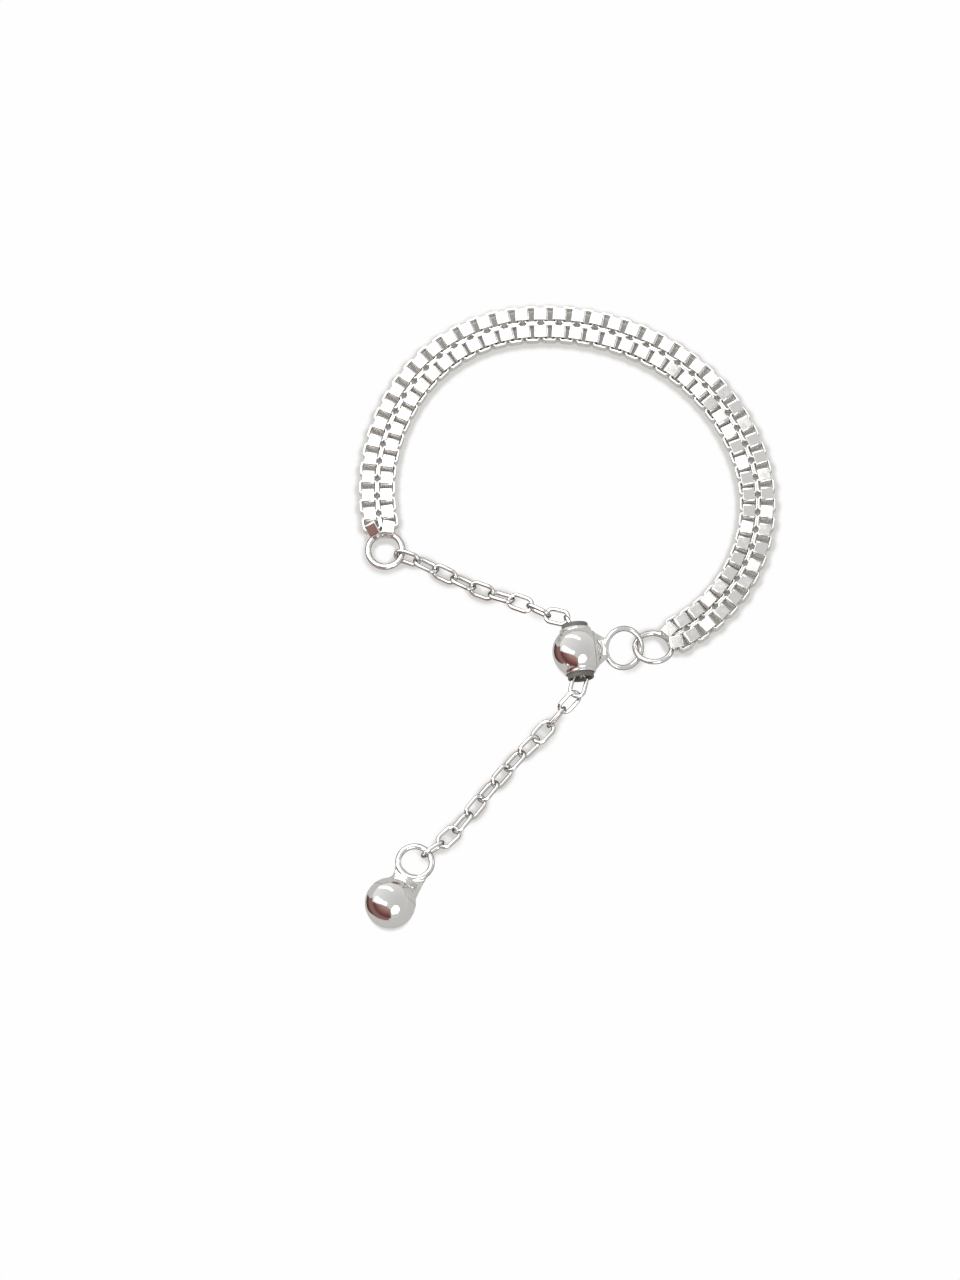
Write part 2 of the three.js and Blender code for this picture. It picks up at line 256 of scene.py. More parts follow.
def metal_material(name, colour, gloss, marks_mm, haze_mm, bumps=0.12, sides=None):
    """Silver that varies in gloss, marked by polishing, and darker and greyer in sharp inner
    corners.

    haze_mm is the size of the patches that differ in gloss. Real polishing marks are finer than
    0.01 mm, and are drawn marks_mm wide so that they show.
    """
    material = new_material(name)
    tree = material.node_tree
    place = add_node(tree, "TexCoord")
    haze = add_node(
        tree,
        "TexNoise",
        {"Scale": 1 / (haze_mm * MM), "Detail": 3.0, "Roughness": 0.55},
        {"Vector": (place, "Object")},
    )
    marks = add_node(
        tree,
        "TexNoise",
        {"Scale": 1 / (marks_mm * MM), "Detail": 2.0, "Roughness": 0.6, "Distortion": 0.8},
        {"Vector": (place, "Object")},
    )
    roughness = add_node(
        tree,
        "MapRange",
        {"From Min": 0.3, "From Max": 0.7, "To Min": gloss[0], "To Max": gloss[1]},
        {"Value": (haze, "Fac")},
    )
    # Pointiness is 0.5 on a flat face and less in an inner corner.
    corner = add_node(tree, "NewGeometry")
    polished = add_node(
        tree, "MapRange", {"From Min": 0.42, "From Max": 0.49}, {"Value": (corner, "Pointiness")}
    )
    tarnish = linear(bpy.context.scene.ring_colours.tarnish)
    tint = add_node(
        tree,
        "Mix",
        {"data_type": "RGBA", 6: tarnish, 7: linear(colour)},
        {"Factor": (polished, "Result")},
    )
    bump = add_node(
        tree, "Bump", {"Strength": bumps, "Distance": 0.004 * MM}, {"Height": (marks, "Fac")}
    )
    if sides:
        # Painted shade: the wire's colour darkens from where its side begins to turn away from the
        # camera to where it is steep.
        steep = add_node(tree, "LayerWeight", {"Blend": 0.5})
        shaded = add_node(
            tree, "MapRange", {"From Min": 0.3, "From Max": 0.56}, {"Value": (steep, "Facing")}
        )
        tint = add_node(
            tree,
            "Mix",
            {"data_type": "RGBA", 7: linear(sides)},
            {"Factor": (shaded, "Result"), 6: (tint, 2)},
        )
    shader = add_node(
        tree,
        "BsdfPrincipled",
        {"Metallic": 1.0},
        {"Base Color": (tint, 2), "Roughness": (roughness, "Result"), "Normal": (bump, "Normal")},
    )
    add_node(tree, "OutputMaterial", links={"Surface": (shader, "BSDF")})
    return material


MATT_ROUGHNESS = 0.8  # of silver as the acid bath leaves it


def leave_recesses_matt(material, colour, reach_mm):
    """Turns the silver matt and white where it is closed in, as in the gaps of a chain."""
    tree = material.node_tree
    shader = tree.nodes["Principled BSDF"]
    depth = add_node(tree, "AmbientOcclusion", {"Distance": reach_mm * MM, "samples": 16})
    # Matt where a fifth of the space around is open, polished from three fifths.
    polished = add_node(
        tree, "MapRange", {"From Min": 0.2, "From Max": 0.6}, {"Value": (depth, "AO")}
    )
    matt = {"data_type": "RGBA", 6: linear(colour)}
    tint = add_node(tree, "Mix", matt, {"Factor": (polished, "Result")})
    tree.links.new(shader.inputs["Base Color"].links[0].from_socket, tint.inputs[7])
    matt = {"data_type": "FLOAT", 2: MATT_ROUGHNESS}
    gloss = add_node(tree, "Mix", matt, {"Factor": (polished, "Result")})
    tree.links.new(shader.inputs["Roughness"].links[0].from_socket, gloss.inputs[3])
    tree.links.new(tint.outputs[2], shader.inputs["Base Color"])
    tree.links.new(gloss.outputs[0], shader.inputs["Roughness"])
    tree.links.new(polished.outputs["Result"], shader.inputs["Metallic"])


def sterling_silver_drawn_wire(name):
    # Drawn silver wire, polished: bright along its back, with painted shade along its two steep
    # sides.
    look = bpy.context.scene.ring_colours
    return metal_material(
        name,
        look.silver,
        gloss=(0.07, 0.14),
        marks_mm=0.05,
        haze_mm=0.9,
        bumps=0.08,
        sides=look.sides,
    )


def sterling_silver_polished(name):
    # Sterling silver balls and solder webs, mirror polished: a soft-edged mirror, a little hazy.
    look = bpy.context.scene.ring_colours
    return metal_material(
        name, look.silver, gloss=(0.06, 0.12), marks_mm=0.05, haze_mm=0.9, bumps=0.06
    )


def sterling_silver_tumbled(name):
    # Machine-made chain, tumbled bright: each flat link is a small mirror, a little uneven. In the
    # narrow gaps the silver stays matt white, as the acid bath leaves it.
    look = bpy.context.scene.ring_colours
    material = metal_material(
        name, look.silver, gloss=(0.05, 0.1), marks_mm=0.05, haze_mm=0.35, bumps=0.06
    )
    leave_recesses_matt(material, look.pickled, 0.4)
    return material


def silver_solder_buffed(name):
    # Hard silver solder, run and buffed: greyer than the metal and softly uneven.
    look = bpy.context.scene.ring_colours
    return metal_material(name, look.solder, gloss=(0.2, 0.34), marks_mm=0.09, haze_mm=0.25)


def silicone_rubber_moulded(name):
    # Moulded silicone rubber: matt, with a faint bloom and a fine moulded grain.
    material = new_material(name)
    tree = material.node_tree
    place = add_node(tree, "TexCoord")
    bloom = add_node(
        tree, "TexNoise", {"Scale": 1 / (0.3 * MM), "Detail": 4.0}, {"Vector": (place, "Object")}
    )
    colour = linear(bpy.context.scene.ring_colours.core)
    darker = [c * 0.8 for c in colour[:3]] + [1.0]
    lighter = [min(1.0, c * 1.25) for c in colour[:3]] + [1.0]
    tint = add_node(
        tree, "Mix", {"data_type": "RGBA", 6: darker, 7: lighter}, {"Factor": (bloom, "Fac")}
    )
    # Moulded grain is about 0.01 mm, drawn at 0.04 mm so that it shows.
    grain = add_node(
        tree, "TexNoise", {"Scale": 1 / (0.04 * MM), "Detail": 2.0}, {"Vector": (place, "Object")}
    )
    bump = add_node(
        tree, "Bump", {"Strength": 0.3, "Distance": 0.006 * MM}, {"Height": (grain, "Fac")}
    )
    shader = add_node(
        tree,
        "BsdfPrincipled",
        {"Roughness": 0.5, "IOR": 1.41},
        {"Base Color": (tint, 2), "Normal": (bump, "Normal")},
    )
    add_node(tree, "OutputMaterial", links={"Surface": (shader, "BSDF")})
    return material


def made_once(make):
    """The material that a function makes, which has the function's name."""
    return bpy.data.materials.get(make.__name__) or make(make.__name__)


# ---- Meshes ----------------------------------------------------------------------------------


class Shape:
    """Vertices and faces gathered for one piece."""

    def __init__(self):
        self.verts = []
        self.faces = []

    def add(self, verts, faces, place=None):
        start = len(self.verts)
        self.verts += [place @ v for v in verts] if place else verts
        self.faces += [[start + i for i in face] for face in faces]
        return self


FLAT_FACE = 0.05 * MM * MM  # a face of folded strip that is larger than this is flat


def piece(name, shape, finish, node, folded=False):
    """Makes the piece, gives it its finish and puts it in place of its solid."""
    mesh = bpy.data.meshes.new(name)
    mesh.from_pydata(shape.verts, [], shape.faces)
    work = bmesh.new()
    work.from_mesh(mesh)
    bmesh.ops.recalc_face_normals(work, faces=work.faces)
    work.to_mesh(mesh)
    work.free()
    mesh.shade_smooth()
    obj = bpy.data.objects.new(name, mesh)
    bpy.context.scene.collection.objects.link(obj)
    mesh.materials.append(made_once(finish))
    if folded:
        for face in mesh.polygons:
            face.use_smooth = face.area < FLAT_FACE
    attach(obj, "root")
    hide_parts(node)


def rounded_outline(half_x, half_y, radius, steps):
    """Points and outward angles round a rectangle with round corners, or a circle or an oval."""
    found = []
    for corner in range(4):
        start = corner * math.pi / 2
        sign_x = (1, -1, -1, 1)[corner]
        sign_y = (1, 1, -1, -1)[corner]
        centre = Vector((sign_x * (half_x - radius), sign_y * (half_y - radius), 0))
        for step in range(steps + 1):
            angle = start + step * math.pi / 2 / steps
            out = Vector((math.cos(angle), math.sin(angle), 0))
            point = centre + radius * out
            if not found or (point - found[-1][0]).length > 1e-9:
                found.append((point, angle))
    if (found[0][0] - found[-1][0]).length < 1e-9:
        found.pop()
    return found


def section_points(half_x, half_y, radius, steps):
    """A section's outline, to be carried along a loop: x outwards, y up."""
    return [point for point, _ in rounded_outline(half_x, half_y, radius, steps)]


def loop_mesh(outer, inner, half, steps, section):
    """A section, 2 x half across, carried round between an outer and an inner outline in XY."""
    outside = rounded_outline(*outer, steps)
    inside = rounded_outline(*inner, steps)
    verts = []
    for (far, _), (near, _) in zip(outside, inside, strict=True):
        across = (far - near) / (2 * half)
        verts += [(far + near) / 2 + p.x * across + Vector((0, 0, p.y)) for p in section]
    return verts, closed_faces(len(outside), len(section), True)


def wire_mesh(half_x, half_y, radius, wire, steps, sides):
    """Round wire round a loop whose midline is given by its half sizes and corner radius."""
    half = wire / 2
    outer = (half_x + half, half_y + half, radius + half)
    inner = (half_x - half, half_y - half, radius - half)
    return loop_mesh(outer, inner, half, steps, section_points(half, half, half, sides))


def closed_faces(rings, size, wrap):
    """Quads between rings of vertices, each ring closed on itself."""
    faces = []
    for ring in range(rings if wrap else rings - 1):
        following = (ring + 1) % rings
        for i in range(size):
            j = (i + 1) % size
            near, far = ring * size, following * size
            faces.append((near + i, near + j, far + j, far + i))
    return faces


def capped_faces(rings, size):
    """Quads between rings of vertices, and a face on the first and on the last ring."""
    last = (rings - 1) * size
    caps = [tuple(reversed(range(size))), tuple(range(last, last + size))]
    return closed_faces(rings, size, False) + caps


def box_link(bend):
    """A link of folded strip in the XY plane, its length along X, with its bends' outer radius."""
    sizes = bpy.context.scene.ring_band
    half = sizes.strip / 2
    half_x, half_y = sizes.link_length / 2, sizes.link_height / 2
    inner_bend = max(bend - sizes.strip, 0.02 * MM)
    outer = (half_x, half_y, bend)
    inner = (half_x - sizes.strip, half_y - sizes.strip, inner_bend)
    section = section_points(half, sizes.strip_width / 2, sizes.edge, 3)
    return loop_mesh(outer, inner, half, 5, section)


def wire_loop(radius, wire, steps=18):
    """A round ring of round wire in the XY plane."""
    return wire_mesh(radius, radius, radius, wire, steps, 6)


def oval_link():
    """An oval link of round wire in the XY plane, its length along X."""
    sizes = bpy.context.scene.ring_cable
    return wire_mesh(sizes.half, sizes.side, sizes.side, sizes.wire, 9, 4)


def lathe(profile, steps):
    """A closed profile of (radius, height) turned about Y."""
    verts = []
    for step in range(steps):
        angle = 2 * math.pi * step / steps
        verts += [Vector((r * math.cos(angle), h, -r * math.sin(angle))) for r, h in profile]
    return verts, closed_faces(steps, len(profile), True)


def arc(centre, radius, start, end, steps):
    """Points of an arc as (radius, height), angles in degrees from the radius axis."""
    angles = [math.radians(start + (end - start) * i / steps) for i in range(steps + 1)]
    return [(centre[0] + radius * math.cos(a), centre[1] + radius * math.sin(a)) for a in angles]


def turned(angle, axis):
    return Matrix.Rotation(math.radians(angle), 4, axis)


def moved(x, y, z):
    return Matrix.Translation((x * MM, y * MM, z * MM))


# ---- Places ----------------------------------------------------------------------------------


def hook_angle(ring):
    """The angle round an end ring, in radians, at which each of its two links is soldered."""
    sizes = bpy.context.scene.ring_band
    wall = (sizes.link_length - sizes.strip) / 2
    return math.asin(sizes.row_offset / ((ring["radius"] + SOLDER_REACH) * MM + wall))


def end_reach(ring):
    """From the middle of an end ring to the middle of the band's last pair, in metres."""
    sizes = bpy.context.scene.ring_band
    hook = (ring["radius"] + SOLDER_REACH) * MM + (sizes.link_length - sizes.strip) / 2
    return hook * math.cos(hook_angle(ring)) + HOOK_SETBACK * MM


def band_length():
    return sum(arc_["radius"] * MM * math.radians(arc_["sweep"]) for arc_ in BAND_ARCS)


def band_at(distance):
    """The place on the band's midline at a distance from its first pair, X along the band."""
    heading = math.radians(BAND_START["heading"])
    start = end_reach(LEFT_RING)
    x = BAND_START["x"] * MM + start * math.cos(heading)
    y = BAND_START["y"] * MM + start * math.sin(heading)
    left = distance
    for arc_ in BAND_ARCS:
        radius = arc_["radius"] * MM
        turn = min(left / radius, math.radians(arc_["sweep"]))
        chord = 2 * radius * math.sin(turn / 2)
        x += chord * math.cos(heading - turn / 2)
        y += chord * math.sin(heading - turn / 2)
        heading -= turn
        left -= turn * radius
    return Matrix.Translation((x, y, 0)) @ Matrix.Rotation(heading, 4, "Z")


def right_ring_place():
    """The right end ring's own place, X towards the band."""
    end = band_at(band_length())
    return end @ Matrix.Translation((end_reach(RIGHT_RING), 0, 0)) @ turned(180, "Z")


def left_ring_place():
    return moved(BAND_START["x"], BAND_START["y"], 0) @ turned(BAND_START["heading"], "Z")


def ball_place(spot):
    """The place of the slider's ball or of the end ball, resting on the surface."""
    radius = bpy.context.scene.ring_ball.radius
    return moved(spot["x"], spot["y"], radius / MM) @ turned(spot["turn"], "Z")


def side_ring_place(ring):
    """A ring soldered to a ball's side, in the ball's own place."""
    drop = ring["z"] - bpy.context.scene.ring_ball.radius / MM
    return moved(ring["x"], 0, drop) @ turned(ring["slope"], "Y") @ turned(ring["tilt"], "X")


def hook_point(start, heading, ring, distance):
    """The point just inside a ring's wire where the chain's last link ends, in millimetres."""
    inside = ring["radius"] - HOOK_DEPTH
    hook, slope = math.radians(ring["hook"]), math.radians(ring["slope"])
    forward = distance + inside * math.cos(hook) * math.cos(slope)
    sideways = inside * math.sin(hook)
    heading = math.radians(heading)
    return (
        start["x"] + forward * math.cos(heading) - sideways * math.sin(heading),
        start["y"] + forward * math.sin(heading) + sideways * math.cos(heading),
        ring["z"] - inside * math.cos(hook) * math.sin(slope),
    )


def smooth_route(points, steps):
    """Points of the centripetal Catmull-Rom curve through the given ones."""
    ends = [2 * points[0] - points[1], *points, 2 * points[-1] - points[-2]]
    found = []
    for i in range(1, len(ends) - 2):
        p0, p1, p2, p3 = ends[i - 1 : i + 3]
        d0, d1, d2 = [math.sqrt((b - a).length) for a, b in ((p0, p1), (p1, p2), (p2, p3))]
        t1 = ((p1 - p0) / d0 - (p2 - p0) / (d0 + d1) + (p2 - p1) / d1) * d1
        t2 = ((p2 - p1) / d1 - (p3 - p1) / (d1 + d2) + (p3 - p2) / d2) * d1
        for step in range(steps):
            t = step / steps
            cubic = 2 * p1 - 2 * p2 + t1 + t2
            square = -3 * p1 + 3 * p2 - 2 * t1 - t2
            found.append(p1 + t * (t1 + t * (square + t * cubic)))
    found.append(points[-1])
    return found


def link_joints(route, pitch):
    """The joints between stiff links, each a straight pitch from the last."""
    joints = [route[0]]
    for point in route:
        if (point - joints[-1]).length >= pitch:
            joints.append(point)
    return joints


def cable_joints():
    """The joints of all the links on the cable chain's route, in metres."""
    sizes = bpy.context.scene.ring_cable
    turn = math.radians(BEAD["turn"])
    radius = bpy.context.scene.ring_ball.radius / MM
    bore = [
        (BEAD["x"] - reach * math.sin(turn), BEAD["y"] + reach * math.cos(turn), radius)
        for reach in BORE_ROUTE
    ]
    first = hook_point(BAND_START, BAND_START["heading"], LEFT_RING, 0)
    last = hook_point(END_BALL, END_BALL["turn"], END_LOOP, END_LOOP["x"])
    points = [Vector(p) * MM for p in (first, *UPPER_ROUTE, *bore, *LOWER_ROUTE, last)]
    route = smooth_route(points, 300)
    # The longest pitch at which the links still all find room on the route, by halving.
    low, high = sizes.half, 2 * sizes.half
    for _ in range(24):
        pitch = (low + high) / 2
        if len(link_joints(route, pitch)) > sizes.links:
            low = pitch
        else:
            high = pitch
    return link_joints(route, low)


def link_roll(index):
    """The turn of a link about the route: a quarter turn from its neighbour's, and the twist."""
    after = [i for i, row in enumerate(TWIST) if row["link"] >= index]
    to = TWIST[after[0]] if after else TWIST[-1]
    since = TWIST[after[0] - 1] if after and after[0] > 0 else to
    span = to["link"] - since["link"]
    share = (index - since["link"]) / span if span else 0
    return index * 90 + since["turn"] + (to["turn"] - since["turn"]) * share


# ---- Pieces ----------------------------------------------------------------------------------


def leaning(rng, amount):
    """A small random lean about each axis."""
    lean = [rng.gauss(0, amount) for _ in range(3)]
    return (
        Matrix.Rotation(lean[0], 4, "X")
        @ Matrix.Rotation(lean[1], 4, "Y")
        @ Matrix.Rotation(lean[2] / 2, 4, "Z")
    )


def upright(link_place):
    """Stands a box link on the surface, its length along X."""
    height = bpy.context.scene.ring_band.link_height
    return link_place @ Matrix.Translation((0, 0, height / 2)) @ turned(90, "X")


class RING_OT_band_links(bpy.types.Operator):
    """Build the upright links of the band, the bright squares of both rows"""

    bl_idname = "ring.band_links"
    bl_label = "Upright band links"

    def execute(self, context):
        sizes = context.scene.ring_band
        rng = random.Random(11)
        verts, faces = box_link(sizes.bend)
        shape = Shape()
        pitch = band_length() / (sizes.pairs - 1)
        for i in range(sizes.pairs - 1):
            between = band_at((i + 0.5) * pitch)
            for side in (-1, 1):
                stand = Matrix.Translation((0, side * sizes.row_offset, 0))
                lean = leaning(rng, sizes.play)
                shape.add(verts, faces, upright(between @ stand) @ lean)
        piece("band_upright_links", shape, sterling_silver_tumbled, "band_chain", folded=True)
        return {"FINISHED"}


class RING_OT_band_pairs(bpy.types.Operator):
    """Build the lying links of the band, soldered in pairs across the rows"""

    bl_idname = "ring.band_pairs"
    bl_label = "Lying band links"

    def execute(self, context):
        sizes = context.scene.ring_band
        verts, faces = box_link(sizes.side_bend)
        seam_verts, seam_faces = solder_seam()
        links, seams = Shape(), Shape()
        pitch = band_length() / (sizes.pairs - 1)
        for i in range(sizes.pairs):
            place = band_at(i * pitch) @ self.end_lean(i, sizes)
            middle = place @ Matrix.Translation((0, 0, sizes.lift + sizes.strip_width / 2))
            for side in (-1, 1):
                row = Matrix.Translation((0, side * sizes.row_offset, 0))
                links.add(verts, faces, middle @ row)
            seams.add(seam_verts, seam_faces, middle)
        piece("band_lying_links", links, sterling_silver_tumbled, "band_chain", folded=True)
        piece("band_solder_seams", seams, silver_solder_buffed, "band_chain")
        return {"FINISHED"}

    def end_lean(self, index, sizes):
        """The first and last pair rise towards the end rings and are pulled towards them."""
        inward = {0: 1, sizes.pairs - 1: -1}.get(index, 0)
        if not inward:
            return Matrix.Identity(4)
        half = inward * sizes.link_length / 2
        return (
            Matrix.Translation((half - inward * END_SHIFT * MM, 0, sizes.lift))
            @ turned(inward * END_TILT, "Y")
            @ Matrix.Translation((-half, 0, -sizes.lift))
        )


def solder_seam():
    """The solder that fills the seam between two lying links, wider at its two ends."""
    sizes = bpy.context.scene.ring_band
    rows = 9
    reach = sizes.link_length / 2 - 0.1 * MM  # short of the links' bends
    tall = sizes.strip_width / 2 - 0.02 * MM  # and of the strip's edges
    verts = []
    for row in range(rows):
        t = 2 * row / (rows - 1) - 1
        wide = (0.035 + 0.05 * t * t) * MM
        section = section_points(wide, tall, 0.025 * MM, 2)
        verts += [Vector((t * reach, p.x, p.y)) for p in section]
    return verts, capped_faces(rows, len(verts) // rows)


# The drop of solder between an end ring and a link: its half sizes, how far its middle lies
# outside the ring's wire, and its height above the surface, in millimetres.
BLOB_SIZE = (0.24, 0.34, 0.3)
BLOB_REACH = 0.03
BLOB_HEIGHT = 0.46


def end_ring(name, ring, place, node, leant=Matrix.Identity(4)):
    """An end ring with its two box links, the outer one leant, and the solder that joins them."""
    links = Shape()
    verts, faces = box_link(bpy.context.scene.ring_band.bend)
    blobs = Shape()
    blob_verts, blob_faces = solder_blob(*BLOB_SIZE)
    angle = hook_angle(ring)
    for side in (-1, 1):
        spoke = place @ Matrix.Rotation(side * angle, 4, "Z")
        seat = spoke @ moved(ring["radius"] + SOLDER_REACH, 0, 0)
        links.add(verts, faces, upright(seat) @ (leant if side > 0 else Matrix.Identity(4)))
        joint = spoke @ moved(ring["radius"] + BLOB_REACH, 0, BLOB_HEIGHT)
        blobs.add(blob_verts, blob_faces, joint)
    piece(f"{name}_links", links, sterling_silver_tumbled, node, folded=True)
    piece(f"{name}_solder", blobs, silver_solder_buffed, node)
    wire = Shape()
    tilt = turned(ring["about"], "Z") @ turned(ring["tilt"], "X") @ turned(-ring["about"], "Z")
    verts, faces = wire_loop(ring["radius"] * MM, ring["wire"] * MM)
    wire.add(verts, faces, place @ moved(0, 0, ring["z"]) @ tilt)
    piece(name, wire, sterling_silver_drawn_wire, node)


def solder_blob(x, y, z):
    """A rounded drop of solder with the given half sizes in millimetres."""
    work = bmesh.new()
    bmesh.ops.create_icosphere(work, subdivisions=4, radius=1)
    for v in work.verts:
        wave = 1 + 0.06 * math.sin(5 * v.co.y + 2 * v.co.z)  # a little uneven
        wave += 0.04 * math.sin(7 * v.co.x + 3 * v.co.y)
        v.co = Vector((v.co.x * x, v.co.y * y, v.co.z * z)) * wave * MM
    verts = [v.co.copy() for v in work.verts]
    faces = [[v.index for v in f.verts] for f in work.faces]
    work.free()
    return verts, faces


class RING_OT_end_rings(bpy.types.Operator):
    """Build the two end rings with the box links soldered to them"""

    bl_idname = "ring.end_rings"
    bl_label = "End rings"

    def execute(self, context):
        # The left ring's outer link leans over in its solder.
        leant = moved(0.1, 0.13, 0.12) @ turned(9.5, "Z") @ turned(-32.8, "X")
        end_ring("left_ring", LEFT_RING, left_ring_place(), "left_end_ring", leant)
        end_ring("right_ring", RIGHT_RING, right_ring_place(), "right_end_ring")
        return {"FINISHED"}


class RING_OT_cable_chain(bpy.types.Operator):
    """Build the cable chain of oval links"""

    bl_idname = "ring.cable_chain"
    bl_label = "Cable chain"

    def execute(self, context):
        joints = cable_joints()
        verts, faces = oval_link()
        shape = Shape()
        for i in range(context.scene.ring_cable.links):
            start, end = joints[i], joints[i + 1]
            along = (end - start).normalized()
            across = Vector((0, 0, 1)).cross(along).normalized()
            up = along.cross(across)
            place = Matrix((along, across, up)).transposed().to_4x4()
            place.translation = (start + end) / 2
            shape.add(verts, faces, place @ turned(link_roll(i), "X"))
        piece("cable_chain_links", shape, sterling_silver_drawn_wire, "cable_chain")
        return {"FINISHED"}


def loft(sections):
    """A closed body through sections along X: (x, y from, y to, z, half thickness), in mm."""
    verts = []
    for x, start, end, z, thick in sections:
        half = (end - start) / 2
        outline = section_points(half, thick, min(half, thick) * 0.9, 4)
        verts += [Vector((x, start + half + p.x, z + p.y)) * MM for p in outline]
    size = len(verts) // len(sections)
    return verts, capped_faces(len(sections), size)


def sphere(radius, across, up):
    """A ball round the origin. Blender orders its parts anew each time, so they are sorted."""
    work = bmesh.new()
    bmesh.ops.create_uvsphere(work, u_segments=across, v_segments=up, radius=radius)
    corners = sorted(tuple(v.co) for v in work.verts)
    index = {corner: i for i, corner in enumerate(corners)}
    faces = []
    for face in work.faces:
        ring = [index[tuple(v.co)] for v in face.verts]
        first = ring.index(min(ring))
        faces.append(ring[first:] + ring[:first])
    work.free()
    return [Vector(corner) for corner in corners], sorted(faces)


BALL_STEPS = 96  # facets round the slider's ball
CORE_STEPS = 64  # and round its core
END_BALL_STEPS = (128, 96)  # round the end ball, and from its top to its foot
SKIN_STEPS = (96, 64)  # and on the balls that the webs are made with
WEB_SKIN = 0.012  # the solder's thickness where it runs out over a ball, in millimetres
RING_SKIN = 0.03  # and how much thicker it makes the wire that it runs round


def skinned_ball():
    """The ball with the solder's thickness added, round the origin."""
    return sphere(bpy.context.scene.ring_ball.radius + WEB_SKIN * MM, *SKIN_STEPS)


def side_ring(name, ring, place, node):
    """Makes the ring on a ball's side, and gives the thicker one that the solder runs round."""
    seat = side_ring_place(ring)
    wire = wire_loop(ring["radius"] * MM, ring["wire"] * MM)
    piece(name, Shape().add(*wire, place @ seat), sterling_silver_drawn_wire, node)
    verts, faces = wire_loop(ring["radius"] * MM, (ring["wire"] + RING_SKIN) * MM)
    return [seat @ v for v in verts], faces


def run_together(bodies, voxel, steps, keep):
    """The union of bodies, its inner corners filled as by solder, cut to where keep() says so."""
    rough = Shape()
    for body in bodies:
        rough.add(*body)
    mesh = bpy.data.meshes.new("rough")
    mesh.from_pydata(rough.verts, [], rough.faces)
    obj = bpy.data.objects.new("rough", mesh)
    bpy.context.scene.collection.objects.link(obj)
    union = obj.modifiers.new("union", "REMESH")
    union.mode = "VOXEL"
    union.voxel_size = voxel
    fillet = obj.modifiers.new("fillet", "SMOOTH")
    fillet.iterations = steps
    fillet.factor = 0.5
    done = obj.evaluated_get(bpy.context.evaluated_depsgraph_get())
    found = done.to_mesh()
    inside = [keep(v.co / MM) for v in found.vertices]
    chosen = [f.vertices[:] for f in found.polygons if all(inside[i] for i in f.vertices)]
    used = sorted({i for face in chosen for i in face})
    index = {old: new for new, old in enumerate(used)}
    verts = [found.vertices[i].co.copy() for i in used]
    faces = [[index[i] for i in face] for face in chosen]
    done.to_mesh_clear()
    bpy.data.objects.remove(obj)
    bpy.data.meshes.remove(mesh)
    return verts, faces


def solder_web(maker, name, node, place, bodies):
    """The solder between a ball and the ring on its side, as fine and soft as its maker says."""
    bodies = (skinned_ball(), *bodies)
    web = run_together(bodies, maker.WEB_VOXEL, maker.WEB_SMOOTHING, maker.near_web)
    piece(name, Shape().add(*web, place), sterling_silver_polished, node)


class RING_OT_slider(bpy.types.Operator):
    """Build the slider: the drilled ball, its ring and its soft core"""

    bl_idname = "ring.slider"
    bl_label = "Slider"

    def execute(self, context):
        place = ball_place(BEAD)
        ball = Shape().add(*lathe(self.ball_profile(context), BALL_STEPS), place)
        piece("slider_ball", ball, sterling_silver_polished, "slider_bead")
        ring = side_ring("slider_ring", BEAD_RING, place, "slider_bead")
        body = loft([(x, -w, w, z, t) for x, w, t, z in self.WEB_ROWS])
        solder_web(self, "slider_solder_web", "slider_bead", place, (ring, body))

        core = Shape().add(*lathe(self.core_profile(context), CORE_STEPS), place)
        piece("slider_silicone_core", core, silicone_rubber_moulded, "slider_core")
        return {"FINISHED"}

    def ball_profile(self, context):
        """The bore, a collar's rounded lip, the sphere and the other collar."""
        sizes = context.scene.ring_ball
        lip = 0.05 * MM
        bore = sizes.core + 0.02 * MM
        top = sizes.collar_half
        spring = math.degrees(math.acos((sizes.collar + 0.02 * MM) / sizes.radius))
        upper = [(bore, 0), (bore, top - lip)]
        upper += arc((bore + lip, top - lip), lip, 180, 90, 4)[1:]
        upper += arc((sizes.collar - lip, top - lip), lip, 90, 0, 4)
        side = arc((0, 0), sizes.radius, spring, -spring, 48)
        lower = [(r, -h) for r, h in reversed(upper[1:])]
        return upper + side + lower

    def core_profile(self, context):
        """The bore with its two wider mouths, and the outside."""
        sizes = context.scene.ring_ball
        round_edge = 0.055 * MM
        top = sizes.core_half
        upper = [(sizes.bore, 0), (sizes.bore, top - 0.5 * MM)]
        upper.append((sizes.mouth - 0.03 * MM, top - 0.08 * MM))
        upper += arc((sizes.core - round_edge, top - round_edge), round_edge, 110, 0, 5)
        waist = [(sizes.core, 0.6 * MM), (sizes.core, -0.6 * MM)]
        lower = [(r, -h) for r, h in reversed(upper[1:])]
        return upper + waist + lower

    def near_web(self, point):
        """Whether a point, in millimetres from the ball's middle, is by the ring."""
        return 0.85 < point.x < 1.72 and abs(point.y) < 0.95

    # The web at distances from the ball's middle: its half width, half thickness and height. It
    # runs from inside the ball to inside the ring's wire, wide at the ball and drawn in between.
    WEB_ROWS = (
        (0.7, 0.95, 0.55, 0.0),
        (0.95, 0.84, 0.46, 0.0),
        (1.1, 0.75, 0.38, 0.01),
        (1.22, 0.66, 0.3, 0.02),
        (1.34, 0.57, 0.22, 0.03),
        (1.44, 0.5, 0.15, 0.03),
    )
    WEB_VOXEL = 0.022 * MM
    WEB_SMOOTHING = 30


